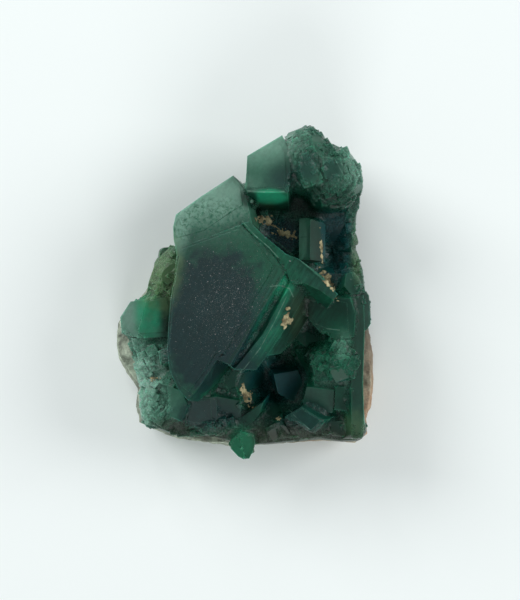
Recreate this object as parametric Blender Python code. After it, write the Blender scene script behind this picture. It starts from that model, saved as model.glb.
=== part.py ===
"""Green fluorite crystal group on a piece of its host rock.

Metres, +Z up. The specimen lies on the flat broken back of its rock with the crystals facing up.
+X is its width and +Y its length. The origin is under the middle of its box, on the surface it rests on.
Sizes and places below are in millimetres, measured from the middle of the specimen's outline.
"""

import math
import random
from collections import namedtuple

import bmesh
import bpy
from mathutils import Matrix, Vector, noise

MM = 0.001

# Driving heights of the rock and of the massive fluorite that the crystals grow from
ROCK_TOP = 12.5
ROCK_SIDE_RINGS = ((0.955, 1.8), (0.985, 4.2), (1.0, 6.6), (0.985, 9.4))
ROCK_RAGGED = 0.035
ROCK_FLAT_SHARE = 0.86
CRUST_FOOT = 9.5
CRUST_WAIST = 14.5
CRUST_TOP = 24.0
CRUST_LEAST = 2.5
GAP = 0.3
SHORTEST_EDGE = 0.002

# Shares of the outline's radius at which the upper surfaces have a ring of points
TOP_RINGS = (0.12, 0.25, 0.38, 0.51, 0.64, 0.76, 0.88)

ROCK_OUTLINE = (
    (-19, 11), (-10, 17), (-2, 24), (4, 32), (12, 40), (20, 42), (28, 40), (32.5, 33), (33.5, 24),
    (33.2, 14), (35.5, 5), (38, -4), (39.2, -12), (40, -19), (40.2, -28), (39.8, -36), (38.4, -39.5),
    (38.4, -44), (34.5, -47), (24, -46.2), (14, -46.8), (5, -47.8), (-4, -48), (-10.5, -47.6),
    (-16, -47), (-21.5, -45.6), (-27.5, -43.2), (-33.5, -40.4), (-34.6, -35.5), (-34.4, -30),
    (-37.2, -25.5), (-40, -20), (-40.8, -14), (-40, -8.5), (-37.2, -4.5), (-33.2, -1), (-29.5, 4),
    (-26.5, 9),
)

CRUST_OUTLINE = (
    (-20, 14), (-10, 19), (-3, 25), (2, 31), (8, 38), (13, 45), (16, 48.2), (19.5, 48.2), (24, 46.3),
    (28.5, 44.3), (31.5, 41.3), (34, 38), (35.6, 33), (35.4, 28), (34.4, 24.5), (34, 20),
    (33.8, 15.5), (34.6, 11.5), (36.2, 8), (36.8, 2.5), (37.2, -3), (37, -9), (36.6, -14), (36.2, -22),
    (36.2, -32), (37, -39), (37.6, -42.8), (35.6, -45.6), (30, -45.9), (23, -45), (14, -45.9),
    (6, -46.6), (0, -46.5), (-5, -45.6), (-10, -44.2), (-16, -44.2), (-21, -44), (-27, -41.8),
    (-32, -39.2), (-33, -34), (-32.4, -28), (-33.8, -23), (-35.4, -18), (-37, -13), (-38.2, -9),
    (-36.5, -5), (-33.6, -2), (-30.6, 0.2), (-29.8, 4), (-28, 9), (-25.4, 12.8), (-22.5, 15),
)

# A rise or, with a negative height, a hollow in an upper surface
Swell = namedtuple("Swell", "x y radius height")

ROCK_SWELLS = (
    Swell(-38, -17, 7, 8),
    Swell(-14, -47, 6, 6),
    Swell(39, -27, 6, 5),
    Swell(11, -25, 10, -3),
)
CRUST_SWELLS = (
    Swell(9, -27, 9.5, -12),
    Swell(15, -15, 7, -7),
    Swell(27, 13, 8, -6),
    Swell(12, 18, 6, -3),
    Swell(26.5, -20, 8, 5),
    Swell(33, -20, 6, 3),
    Swell(-25, 4, 7, 3),
    Swell(-26, -22, 7, 2),
    Swell(6, 44, 9, -4),
    Swell(0, -2, 14, 6),
    Swell(-12, 20, 9, -4),
    Swell(25, -47, 12, -3),
    Swell(-36, -15, 6, -4),
)

# A crystal with the outline of its outer face as seen from above, the height of that face at the outline's
# first point, the way the face looks, and how far the crystal goes down behind it
Prism = namedtuple("Prism", "name height normal depth outline")

MAIN_NORMAL = (-0.25, 0.10, 0.963)
FIRST_STEP_NORMAL = (0.553, -0.401, 0.73)
SECOND_STEP_NORMAL = (0.51, -0.33, 0.795)

PRISMS = (
    Prism("main_crystal", 41.5, MAIN_NORMAL, 24, (
        (12, 6.2), (10.5, 3.6), (4.2, -6.3), (-1.2, -16), (-4.2, -21), (-8.1, -19.4), (-13.2, -27.3),
        (-16.8, -31.5), (-19.8, -28.2), (-22.5, -22), (-23, -16), (-22.5, -5.5), (-21.3, 5),
        (-20, 13.5), (-1, 20.5), (2.7, 16.4), (7, 12.8),
    )),
    Prism("upper_left_crystal", 36.2, (-0.23, 0.13, 0.965), 10, (
        (-1, 19.5), (-20.2, 11), (-21.3, 16.2), (-21.5, 20), (-20.7, 23.7), (-13.2, 29), (-3.5, 35.2),
        (-0.3, 31.8), (1, 26), (2.5, 19.6),
    )),
    Prism("ridge_crystal", 39.6, (0.16, 0.30, 0.94), 24, (
        (12.4, 6.0), (7.2, 12.7), (2.9, 16.5), (-0.8, 20.8), (1.4, 21.4), (5.5, 17.2), (8.2, 15),
        (12.3, 11.6), (16, 10.2), (20, 7.2), (23, 5), (27.4, -0.3), (26, -1.8), (22, 1.0),
        (17.7, 3.0), (13.5, 3.4),
    )),
    Prism("first_step", 39.8, FIRST_STEP_NORMAL, 16, (
        (13.5, 3.4), (17.9, 3.2), (17.6, -1.2), (13.8, -7.8), (7.8, -16.8), (3.3, -22.8), (-3, -22.4),
        (5.4, -12),
    )),
    Prism("second_step", 33.0, SECOND_STEP_NORMAL, 14, (
        (17.5, 3.2), (22.2, 1), (20.4, -4.8), (15.6, -13), (10.8, -18), (6.6, -18.6), (12.3, -9),
    )),
    Prism("right_face", 31.0, (-0.18, -0.16, 0.97), 14, (
        (18.2, 2.6), (22.8, 1.2), (27.3, -1.2), (31.5, -1.5), (32.9, -6), (32.6, -13), (27.3, -13.8),
        (22.2, -11.2), (19.4, -8),
    )),
    Prism("right_wall", 29.5, (0.28, 0.0, 0.96), 18, (
        (31.8, -1.2), (35.7, -0.4), (36, -11.4), (35.5, -26.4), (36, -43.6), (32.2, -44.4),
        (31.8, -29.4), (32.2, -14.4),
    )),
    Prism("outer_right_crystal", 28.0, (0.28, 0.05, 0.96), 14, (
        (34.0, 0.6), (37.3, 0.8), (38.3, -3.3), (38.3, -8.4), (36.6, -11), (34, -9),
    )),
    Prism("outer_right_cube", 28.5, (0.20, 0.20, 0.96), 12, (
        (30.4, 6), (33.3, 7.2), (35.3, 3.8), (35.9, 0.2), (31.8, -0.2), (29.8, 2.2),
    )),
    Prism("top_crystal", 38.2, (-0.05, 0.28, 0.958), 15, (
        (0.7, 29.8), (0.1, 31.2), (0.5, 36.6), (0.7, 40.9), (4.8, 43.4), (11.1, 47.2), (13.2, 42.6),
        (13.6, 35), (12.6, 29.6),
    )),
    Prism("knob_left_crystal", 40.2, (-0.12, -0.10, 0.988), 12, (
        (16.8, 42.3), (20.7, 38), (22.8, 32.4), (17, 30.6), (15.5, 36),
    )),
    Prism("knob_right_crystal", 39.6, (0.14, -0.08, 0.987), 12, (
        (22.9, 40.5), (28.8, 39.6), (29, 34.2), (23.4, 33.8),
    )),
    Prism("left_crystal", 27.5, (0.10, 0.05, 0.994), 13, (
        (-29.6, -1.4), (-22.6, 0.4), (-21, -5.4), (-22.2, -13), (-32.6, -13.4), (-31, -7),
    )),
    Prism("left_crystal_facet", 27.3, (-0.45, 0.10, 0.89), 11, (
        (-29.4, -1.6), (-30.9, -7), (-32.5, -13.2), (-37.4, -12.4), (-38, -7.2), (-34.8, -2.4),
    )),
    Prism("left_shelf", 26.0, (-0.10, -0.20, 0.97), 10, (
        (-34.6, -13.6), (-23.6, -12.8), (-21.6, -15.9), (-28.2, -18.2), (-34, -17.4),
    )),
    Prism("small_left_cube", 31.0, (-0.22, 0.12, 0.97), 9, (
        (-26, -17.2), (-22.2, -16), (-21.3, -20.4), (-25.2, -21.3),
    )),
    Prism("left_wedge", 29.0, (0.05, -0.30, 0.95), 9, (
        (-26.4, -27.3), (-22.2, -24.4), (-20, -28.4),
    )),
    Prism("lower_left_ledge", 29.5, (-0.38, -0.22, 0.90), 10, (
        (-19, -29.6), (-23.6, -27.4), (-22.8, -37), (-19.2, -38.6), (-17.2, -33.9),
    )),
    Prism("lower_teal_crystal", 27.5, (0.02, -0.30, 0.95), 10, (
        (-17.6, -32), (-8.7, -31), (-8.2, -41.5), (-18.2, -40),
    )),
    Prism("lower_middle_crystal", 26.5, (0.16, -0.30, 0.94), 10, (
        (-8.9, -31), (-1.2, -32.6), (-1.6, -41.6), (-8.4, -41.8),
    )),
    Prism("lower_splinter", 26.5, (-0.25, -0.25, 0.93), 9, (
        (5.6, -32.6), (4.4, -36.4), (0.3, -41.2), (-1.6, -38),
    )),
    Prism("hollow_crystal", 22.5, (0.18, -0.28, 0.94), 9, (
        (8.7, -24.6), (16, -23.4), (18.8, -29.4), (15.6, -33.5), (10, -30.4),
    )),
    Prism("diamond_crystal", 29.5, (-0.36, -0.16, 0.92), 13, (
        (17, -34), (24, -38.5), (20, -42.6), (12, -37.2),
    )),
    Prism("diamond_neighbour", 28.0, (-0.10, -0.30, 0.95), 12, (
        (18.6, -28), (26.8, -29), (26.4, -36), (20.4, -35.6), (17.4, -33),
    )),
    Prism("lower_right_crystal", 29.0, (0.18, -0.26, 0.95), 12, (
        (27.2, -28), (32.4, -28), (32.6, -35.4), (27, -35),
    )),
    Prism("chip_left", 25.5, (-0.40, -0.20, 0.89), 8, (
        (-1.5, -41.6), (-5.6, -45.8), (-2.1, -49.5), (-0.4, -50.3),
    )),
    Prism("chip_right", 25.5, (0.30, -0.24, 0.92), 8, (
        (-1.5, -41.8), (-0.5, -50.3), (1.2, -50.2), (2.9, -46.8), (2.9, -42.8),
    )),
)

# The standing prism shows two long faces on either side of a ridge
PRISM_RIDGE = ((19.5, 10.2, 31.0), (19.6, 22.8, 30.0))
PRISM_LEFT_WIDTH = 4.1
PRISM_RIGHT_WIDTH = 4.8
PRISM_TURN = math.radians(37)

# The rounded group of small crystals at the upper right end is two domes grown into each other
Dome = namedtuple("Dome", "name centre radii crystals")
DOMES = (
    Dome("knob_upper", (18.2, 39.8, 27.0), (8.6, 10.6, 11.5), 20),
    Dome("knob_right", (26.4, 34.6, 26.5), (9.2, 10.4, 12.5), 26),
)
KNOB_SIDES = (3.6, 7.6)
KNOB_SETTING = (0.18, 0.1, 0.5)
KNOB_SCATTER = 5
KNOB_SINK = 0.64

# Patches of small crystals in the crust: middle, half sizes, count, smallest and largest side, setting, scatter
Patch = namedtuple("Patch", "x y across along count smallest largest setting scatter")
PATCHES = (
    Patch(26.5, -19, 5.5, 8, 22, 2.6, 5.4, (0.40, -0.25, 0.5), 9),
    Patch(18, -40.5, 14, 2.2, 16, 2.6, 5.0, (0.35, 0.1, 0.3), 9),
    Patch(-24.5, -33, 4.5, 5.5, 14, 2.6, 5.0, (0.2, 0.3, 0.7), 10),
    Patch(-28, -21.5, 3.5, 4.5, 12, 2.6, 4.8, (0.2, 0.3, 0.3), 10),
    Patch(-22.5, 4, 2.5, 6, 8, 3.0, 5.4, (0.1, 0.35, 0.9), 10),
    Patch(-12, -40.5, 6, 1.5, 9, 2.4, 4.2, (0.4, 0.0, 0.4), 10),
    Patch(31, 14, 1.6, 9, 9, 2.6, 4.6, (0.1, -0.2, 0.3), 10),
    Patch(8, -19, 2.5, 5, 6, 2.2, 3.8, (0.2, 0.3, 0.6), 10),
)
PATCH_SINK = 0.22
SEED = 11

# Broken blocks around the side of the crust: how many, their sides, how deep they sit and their scatter
SIDE_BLOCKS = 44
SIDE_BLOCK_SIDES = (4.0, 8.5)
SIDE_BLOCK_SINK = 0.70
SIDE_BLOCK_SCATTER = 14
SIDE_BLOCK_LOW = 12.0


def clear_scene():
    for leftover in list(bpy.data.objects):
        bpy.data.objects.remove(leftover, do_unlink=True)


def finish(name, colour, roughness, transmission):
    material = bpy.data.materials.new(name)
    material.use_nodes = True
    shader = material.node_tree.nodes["Principled BSDF"]
    shader.inputs["Base Color"].default_value = (*colour, 1)
    shader.inputs["Roughness"].default_value = roughness
    shader.inputs["Transmission Weight"].default_value = transmission
    shader.inputs["IOR"].default_value = 1.434
    return material


def object_from(form, name):
    mesh = bpy.data.meshes.new(name)
    form.to_mesh(mesh)
    form.free()
    made = bpy.data.objects.new(name, mesh)
    bpy.context.scene.collection.objects.link(made)
    return made


def unevenness(x, y, scale, level):
    """A value from about -1 to 1 that changes smoothly over the specimen."""
    return noise.noise(Vector((x / scale, y / scale, level)))


def swelled(x, y, swells):
    total = 0
    for swell in swells:
        distance = math.hypot(x - swell.x, y - swell.y) / swell.radius
        total += swell.height * math.exp(-distance * distance)
    return total


def rock_top(x, y):
    rough = 2.0 * unevenness(x, y, 16, 3.1) + 0.9 * unevenness(x, y, 6, 7.7)
    return ROCK_TOP + rough + swelled(x, y, ROCK_SWELLS)


def crust_top(x, y):
    rough = 2.0 * unevenness(x, y, 13, 1.4) + 1.2 * unevenness(x, y, 5, 4.9)
    return max(CRUST_TOP + rough + swelled(x, y, CRUST_SWELLS), rock_top(x, y) + CRUST_LEAST)


def stacked_rings(name, rings, low_point, high_point):
    """A closed body through rings of points that all have the same count, from the bottom up."""
    form = bmesh.new()
    rows = [[form.verts.new(Vector(point) * MM) for point in ring] for ring in rings]
    low = form.verts.new(Vector(low_point) * MM)
    high = form.verts.new(Vector(high_point) * MM)
    count = len(rings[0])
    for i in range(count):
        j = (i + 1) % count
        form.faces.new((low, rows[0][i], rows[0][j]))
        form.faces.new((high, rows[-1][j], rows[-1][i]))
        for below, above in zip(rows, rows[1:]):
            form.faces.new((below[i], above[i], above[j], below[j]))
    bmesh.ops.triangulate(form, faces=form.faces[:])
    bmesh.ops.recalc_face_normals(form, faces=form.faces[:])
    return object_from(form, name)


def ring_of(outline, share, height):
    return [(x * share, y * share, height(x * share, y * share)) for x, y in outline]


def ragged(outline, level):
    """The outline with its points moved in or out a little, differently at each level."""
    return [Vector(point) * (1 + ROCK_RAGGED * min(0, unevenness(*point, 7, level))) for point in outline]


def rock(name):
    """The host rock, with a flat back, a ragged side and an uneven top."""
    rings = [ring_of(ROCK_OUTLINE, ROCK_FLAT_SHARE, lambda x, y: 0)]
    for share, height in ROCK_SIDE_RINGS:
        side = ragged(ROCK_OUTLINE, height)
        rings.append(ring_of(side, share, lambda x, y, z=height: z + 1.2 * unevenness(x, y, 7, z)))
    rings.append(ring_of(ROCK_OUTLINE, 0.965, lambda x, y: rock_top(x, y) - 1.4))
    rings += [ring_of(ROCK_OUTLINE, share, rock_top) for share in reversed(TOP_RINGS)]
    return stacked_rings(name, rings, (0, 0, 0), (0, 0, rock_top(0, 0)))


def rock_with_gap():
    """The rock's form grown by the gap on all sides, for cutting the crystals' seat."""
    grown = rock("rock_with_gap")
    form = bmesh.new()
    form.from_mesh(grown.data)
    form.normal_update()
    moves = [vertex.normal * vertex.calc_shell_factor() * GAP * MM for vertex in form.verts]
    for vertex, move in zip(form.verts, moves):
        vertex.co += move
    form.to_mesh(grown.data)
    form.free()
    return grown


def crust(name):
    """The massive fluorite that the crystals grow from."""
    rings = [
        ring_of(CRUST_OUTLINE, 0.93, lambda x, y: CRUST_FOOT + 0.8 * unevenness(x, y, 7, 2.2)),
        ring_of(CRUST_OUTLINE, 1.0, lambda x, y: CRUST_WAIST + 1.5 * unevenness(x, y, 6, 6.6)),
        ring_of(CRUST_OUTLINE, 0.98, lambda x, y: crust_top(x, y) - 2.5),
    ]
    for share in reversed(TOP_RINGS):
        rings.append(ring_of(CRUST_OUTLINE, share, crust_top))
    return stacked_rings(name, rings, (0, 0, CRUST_FOOT), (0, 0, crust_top(0, 0)))


def prism(shape):
    """A crystal whose outer face has the outline given and lies in the plane given."""
    way = Vector(shape.normal).normalized()
    first_x, first_y = shape.outline[0]
    form = bmesh.new()
    upper, lower = [], []
    for x, y in shape.outline:
        z = shape.height - (way.x * (x - first_x) + way.y * (y - first_y)) / way.z
        upper.append(form.verts.new(Vector((x, y, z)) * MM))
        lower.append(form.verts.new((Vector((x, y, z)) - way * shape.depth) * MM))
    form.faces.new(upper)
    form.faces.new(lower[::-1])
    count = len(upper)
    for i in range(count):
        j = (i + 1) % count
        form.faces.new((upper[i], lower[i], lower[j], upper[j]))
    bmesh.ops.recalc_face_normals(form, faces=form.faces[:])
    return object_from(form, shape.name)


def block(name, face, setting, size):
    """A block whose outer face is centred on face, looks along the setting's Z axis and has the size given."""
    form = bmesh.new()
    bmesh.ops.create_cube(form, size=1)
    length, width, depth = size
    bmesh.ops.scale(form, vec=(length, width, depth), verts=form.verts[:])
    bmesh.ops.translate(form, vec=(0, 0, -depth / 2), verts=form.verts[:])
    bmesh.ops.rotate(form, matrix=setting, verts=form.verts[:])
    bmesh.ops.translate(form, vec=face, verts=form.verts[:])
    bmesh.ops.scale(form, vec=(MM, MM, MM), verts=form.verts[:])
    return object_from(form, name)


def standing_prism():
    """The narrow crystal that stands between the two dark pockets."""
    start, end = (Vector(point) for point in PRISM_RIDGE)
    along = (end - start).normalized()
    sideways = along.cross(Vector((0, 0, 1))).normalized()
    up = sideways.cross(along)
    way = (up * math.cos(PRISM_TURN) - sideways * math.sin(PRISM_TURN)).normalized()
    across = way.cross(along)
    setting = Matrix((along, across, way)).transposed()
    middle = (start + end) / 2 + across * PRISM_LEFT_WIDTH / 2
    size = ((end - start).length, PRISM_LEFT_WIDTH, PRISM_RIGHT_WIDTH + 3)
    return block("standing_prism", middle, setting, size)


def dome(shape):
    form = bmesh.new()
    bmesh.ops.create_icosphere(form, subdivisions=2, radius=1)
    for vertex in form.verts:
        swell = 1 + 0.10 * noise.noise(vertex.co * 2.3 + Vector(shape.centre))
        vertex.co = Vector(a * b * swell + c for a, b, c in zip(vertex.co, shape.radii, shape.centre)) * MM
    return object_from(form, shape.name)


def chance_setting(setting, scatter, chance):
    spread = math.radians(scatter)
    tilt = Matrix.Rotation(setting[0] + chance.gauss(0, spread), 3, "X")
    lean = Matrix.Rotation(setting[1] + chance.gauss(0, spread), 3, "Y")
    spin = Matrix.Rotation(setting[2] + chance.gauss(0, spread), 3, "Z")
    return tilt @ lean @ spin


def small_crystals(patch, number, chance):
    """Small blocks that stand a little out of the crust."""
    made = []
    for count in range(patch.count):
        turn = chance.uniform(0, 2 * math.pi)
        reach = math.sqrt(chance.random())
        x = patch.x + patch.across * reach * math.cos(turn)
        y = patch.y + patch.along * reach * math.sin(turn)
        side = chance.uniform(patch.smallest, patch.largest)
        setting = chance_setting(patch.setting, patch.scatter, chance)
        face = Vector((x, y, crust_top(x, y))) + setting @ Vector((0, 0, side * PATCH_SINK))
        size = (side * chance.uniform(0.8, 1.3), side, side * 1.2)
        made.append(block(f"small_crystal_{number}_{count}", face, setting, size))
    return made


def dome_crystals(shape, chance):
    """Blocks all over the upper half of a dome, nearly flush with its round form."""
    made = []
    for count in range(shape.crystals):
        height = chance.uniform(-0.05, 1)
        turn = chance.uniform(0, 2 * math.pi)
        flat = math.sqrt(1 - height * height)
        way = Vector((flat * math.cos(turn), flat * math.sin(turn), height))
        spot = Vector(c + w * r for c, w, r in zip(shape.centre, way, shape.radii))
        side = chance.uniform(*KNOB_SIDES)
        setting = chance_setting(KNOB_SETTING, KNOB_SCATTER, chance)
        size = (side * chance.uniform(0.8, 1.2), side, side)
        face = spot - way * side * KNOB_SINK + setting @ Vector((0, 0, side * 0.5))
        made.append(block(f"{shape.name}_crystal_{count}", face, setting, size))
    return made


def side_blocks(chance):
    """Blocks around the side of the crust, where it has broken along its cleavage, nearly flush with it."""
    made = []
    count = len(CRUST_OUTLINE)
    for number in range(SIDE_BLOCKS):
        place = (number + chance.random()) * count / SIDE_BLOCKS
        start, share = int(place) % count, place % 1
        near, far = Vector(CRUST_OUTLINE[start]), Vector(CRUST_OUTLINE[(start + 1) % count])
        x, y = near.lerp(far, share)
        out = Vector((near.y - far.y, far.x - near.x)).normalized()
        side = chance.uniform(*SIDE_BLOCK_SIDES)
        high = crust_top(x, y) - side * 0.6
        z = chance.uniform(SIDE_BLOCK_LOW, max(SIDE_BLOCK_LOW, high))
        turn = math.atan2(out.y, out.x)
        setting = Matrix.Rotation(turn, 3, "Z") @ chance_setting((0, 0, 0), SIDE_BLOCK_SCATTER, chance)
        centre = Vector((x - out.x * side * (SIDE_BLOCK_SINK - 0.5), y - out.y * side * (SIDE_BLOCK_SINK - 0.5), z))
        centre -= Vector((out.x, out.y, 0)) * side * 0.5
        size = (side, side * chance.uniform(0.8, 1.4), side * chance.uniform(0.6, 1.1))
        face = centre + setting @ Vector((0, 0, size[2] / 2))
        made.append(block(f"side_block_{number}", face, setting, size))
    return made


def combined(body, others, operation):
    """Joins the others to the body, or cuts them from it, and removes them."""
    group = bpy.data.collections.new(f"{operation}_{body.name}")
    bpy.context.scene.collection.children.link(group)
    for other in others:
        bpy.context.scene.collection.objects.unlink(other)
        group.objects.link(other)
        other.hide_render = True
        other.display_type = "WIRE"
    modifier = body.modifiers.new(operation.lower(), "BOOLEAN")
    modifier.operation = operation
    modifier.operand_type = "COLLECTION"
    modifier.collection = group
    modifier.solver = "EXACT"
    graph = bpy.context.evaluated_depsgraph_get()
    body.data = bpy.data.meshes.new_from_object(body.evaluated_get(graph))
    body.modifiers.clear()
    for other in others:
        bpy.data.objects.remove(other, do_unlink=True)
    bpy.data.collections.remove(group)


def keep_outer_skin(made):
    """Deletes sealed inner pockets and loose crumbs, so that one closed skin is left."""
    form = bmesh.new()
    form.from_mesh(made.data)
    left = set(form.verts)
    skins = []
    while left:
        start = left.pop()
        skin, front = {start}, [start]
        while front:
            for edge in front.pop().link_edges:
                for vertex in edge.verts:
                    if vertex in left:
                        left.discard(vertex)
                        skin.add(vertex)
                        front.append(vertex)
        skins.append(skin)
    largest = max(skins, key=len)
    bmesh.ops.delete(form, geom=[v for skin in skins if skin is not largest for v in skin], context="VERTS")
    bmesh.ops.dissolve_degenerate(form, dist=SHORTEST_EDGE * MM, edges=form.edges[:])
    bmesh.ops.triangulate(form, faces=form.faces[:])
    form.to_mesh(made.data)
    form.free()


def crystal_group():
    group = crust("fluorite_crystals")
    pieces = [prism(shape) for shape in PRISMS]
    pieces.append(standing_prism())
    chance = random.Random(SEED)
    for shape in DOMES:
        pieces.append(dome(shape))
        pieces += dome_crystals(shape, chance)
    for number, patch in enumerate(PATCHES):
        pieces += small_crystals(patch, number, chance)
    pieces += side_blocks(chance)
    combined(group, pieces, "UNION")
    combined(group, [rock_with_gap()], "DIFFERENCE")
    keep_outer_skin(group)
    return group


def stand_on_origin(objects):
    """Moves the meshes so that the middle of their box is over the origin."""
    points = [vertex.co for made in objects for vertex in made.data.vertices]
    middle = [(min(p[i] for p in points) + max(p[i] for p in points)) / 2 for i in (0, 1)]
    for made in objects:
        made.data.transform(Matrix.Translation((-middle[0], -middle[1], 0)))


def main():
    clear_scene()
    host_rock = rock("host_rock")
    crystals = crystal_group()
    stand_on_origin([host_rock, crystals])
    host_rock.data.materials.append(finish("rock", (0.30, 0.27, 0.21), 0.85, 0.0))
    crystals.data.materials.clear()
    crystals.data.materials.append(finish("fluorite", (0.03, 0.17, 0.11), 0.3, 0.6))


main()
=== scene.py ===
"""The looks of a green fluorite crystal group on a piece of its host rock.

The file is laid out as an add-on and is run as a script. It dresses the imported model: each operator below
makes one piece, or one group of like pieces, in metres and in the model's own frame, with +X across the
specimen, +Y along it towards the knob of small crystals and +Z out of the crystal side.
"""

import math
import random
from collections import namedtuple

import bmesh
import bpy
import numpy as np
from bpy.props import FloatProperty, FloatVectorProperty, IntProperty, PointerProperty
from mathutils import Matrix, Vector, noise
from mathutils.bvhtree import BVHTree


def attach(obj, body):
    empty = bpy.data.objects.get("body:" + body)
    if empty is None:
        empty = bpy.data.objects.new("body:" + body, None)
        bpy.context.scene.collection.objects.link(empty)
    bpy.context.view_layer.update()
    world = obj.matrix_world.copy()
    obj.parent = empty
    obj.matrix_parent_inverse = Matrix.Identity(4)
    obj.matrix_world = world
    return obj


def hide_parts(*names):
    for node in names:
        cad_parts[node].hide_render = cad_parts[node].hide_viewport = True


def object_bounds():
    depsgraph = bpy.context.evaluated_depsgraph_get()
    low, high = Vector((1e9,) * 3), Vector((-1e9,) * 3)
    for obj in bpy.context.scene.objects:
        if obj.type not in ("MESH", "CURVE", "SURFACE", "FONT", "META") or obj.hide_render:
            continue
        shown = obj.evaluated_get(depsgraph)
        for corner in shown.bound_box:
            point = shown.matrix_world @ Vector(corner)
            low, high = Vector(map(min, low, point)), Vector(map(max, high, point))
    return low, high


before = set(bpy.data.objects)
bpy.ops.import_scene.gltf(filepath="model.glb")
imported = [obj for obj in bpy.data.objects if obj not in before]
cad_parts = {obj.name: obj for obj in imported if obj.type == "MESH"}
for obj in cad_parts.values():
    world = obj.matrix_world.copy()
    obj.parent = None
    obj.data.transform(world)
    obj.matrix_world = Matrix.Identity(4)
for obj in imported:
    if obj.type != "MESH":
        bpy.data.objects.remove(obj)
CAD_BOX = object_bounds()

bl_info = {
    "name": "Fluorite specimen looks",
    "version": (1, 0, 0),
    "blender": (4, 5, 0),
    "location": "3D View > Sidebar > Fluorite",
    "description": "Dresses a fluorite crystal group on host rock with small crystals, clay and dust",
    "category": "Object",
}

MM = 0.001
BODY = "root"
CRYSTALS = "fluorite_crystals"
ROCK = "host_rock"
WELD = 2e-6

# The camera looks straight down from the eye. Places given as seen lie in the plane at the crystals' level
CRYSTAL_LEVEL = 30.0
EYE = Vector((4.8, -2.4, 530.0))


def colour_setting(name, description, default):
    return FloatVectorProperty(
        name=name, description=description, subtype="COLOR", default=default, min=0, max=1
    )


def length_setting(name, description, default):
    return FloatProperty(name=name, description=description, unit="LENGTH", default=default)


class CrystalSettings(bpy.types.PropertyGroup):
    """Sizes and colours of the fluorite."""

    small_count: IntProperty(
        name="Small crystals", description="How many are tried on the rough places", default=2600, min=0
    )
    small_side: length_setting("Small side", "Side of a middling small crystal", 1.6 * MM)
    chamfer: FloatProperty(
        name="Chamfer", description="Worn edge of a small crystal as a share of its side", default=0.07
    )
    # Deep green is also painted shadow: in the deep lines along cracks and edges and in the corner below the
    # upper crystal
    deep: colour_setting("Deep green", "Thick, clean crystal", (0.003, 0.042, 0.024))
    green: colour_setting("Green", "Clean crystal near the surface", (0.0078, 0.112, 0.0588))
    # Bright green: thin clean crystal, which in the side bands and at thin edges also stands for light
    # shining through, as painted glow
    bright: colour_setting("Bright green", "Thin, clean crystal", (0.021, 0.370, 0.195))
    frosted: colour_setting("Frosted", "Etched outer faces", (0.0157, 0.07, 0.0515))
    slate: colour_setting("Slate", "The large dark face", (0.006, 0.031, 0.033))
    # Pale green: milky growth zones, which near thin edges also stand for light shining through them, as
    # painted glow; the pale lines and dot are painted highlights
    pale: colour_setting("Pale green", "Milky growth zones near thin edges", (0.2576, 0.4704, 0.3696))
    # Milky green is also the painted highlight along every edge
    milky: colour_setting("Milky green", "Half milky zones", (0.0728, 0.2128, 0.1456))
    olive: colour_setting("Olive", "Stained crystal", (0.015, 0.034, 0.015))
    stained: colour_setting("Stained rim", "Yellowish worn rim", (0.105, 0.200, 0.088))
    # Painted shade: the colour laid in the deep pockets, the recess and the hollow, where little light
    # reaches
    dark: colour_setting("Dark", "Deep pockets", (0.0025, 0.058, 0.066))


class RockSettings(bpy.types.PropertyGroup):
    """Sizes and colours of the host rock."""

    relief: length_setting("Relief", "Depth of the rock's broken surface", 1.0 * MM)
    grey: colour_setting("Grey green", "Fresh rock", (0.050, 0.055, 0.042))
    milky: colour_setting("Milky", "Pale quartz-rich rock", (0.50, 0.58, 0.45))
    tan: colour_setting("Tan", "Weathered rock", (0.42, 0.26, 0.16))


class DirtSettings(bpy.types.PropertyGroup):
    """Sizes and colours of the clay and the dust."""

    grain_count: IntProperty(
        name="Dust grains", description="Grains strewn over the crystals", default=3600, min=0
    )
    grain_size: length_setting("Grain size", "Radius of a middling grain", 0.05 * MM)
    clay_voxel: length_setting("Clay detail", "Finest detail of the clay", 0.18 * MM)
    ochre: colour_setting("Ochre", "Dry clay", (0.50, 0.44, 0.25))
    brown: colour_setting("Brown", "Damp clay", (0.13, 0.11, 0.055))
    # The dust colour is also that of the grains painted as glints
    dust: colour_setting("Dust", "Pale dust", (0.72, 0.80, 0.78))


class StageSettings(bpy.types.PropertyGroup):
    """Floor, light and camera."""

    floor: colour_setting("Floor", "Plain pale floor", (0.86, 0.91, 0.90))
    view_width: length_setting("View width", "Width that the picture takes in", 156 * MM)


def settings(name):
    return getattr(bpy.context.scene, f"fluorite_{name}")


# Mesh helpers


def linked(name, data):
    made = bpy.data.objects.new(name, data)
    bpy.context.scene.collection.objects.link(made)
    return made


def object_from(form, name):
    mesh = bpy.data.meshes.new(name)
    form.to_mesh(mesh)
    form.free()
    return linked(name, mesh)


def object_from_points(name, points, faces):
    mesh = bpy.data.meshes.new(name)
    mesh.from_pydata(points, [], faces)
    return linked(name, mesh)


def form_of(mesh):
    form = bmesh.new()
    form.from_mesh(mesh)
    return form


def welded(node):
    """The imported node's mesh, with the corners that its file holds more than once put back together."""
    form = form_of(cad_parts[node].data)
    bmesh.ops.remove_doubles(form, verts=form.verts[:], dist=WELD)
    bmesh.ops.recalc_face_normals(form, faces=form.faces[:])
    return form


def pushed(form, push):
    """Moves each corner along its normal by what push gives for its place."""
    form.normal_update()
    for vertex in form.verts:
        vertex.co += vertex.normal * push(vertex.co)


def applied(made):
    graph = bpy.context.evaluated_depsgraph_get()
    mesh = bpy.data.meshes.new_from_object(made.evaluated_get(graph))
    made.modifiers.clear()
    made.data = mesh


def remeshed(made, voxel):
    modifier = made.modifiers.new("remesh", "REMESH")
    modifier.mode = "VOXEL"
    modifier.voxel_size = voxel
    applied(made)


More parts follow.
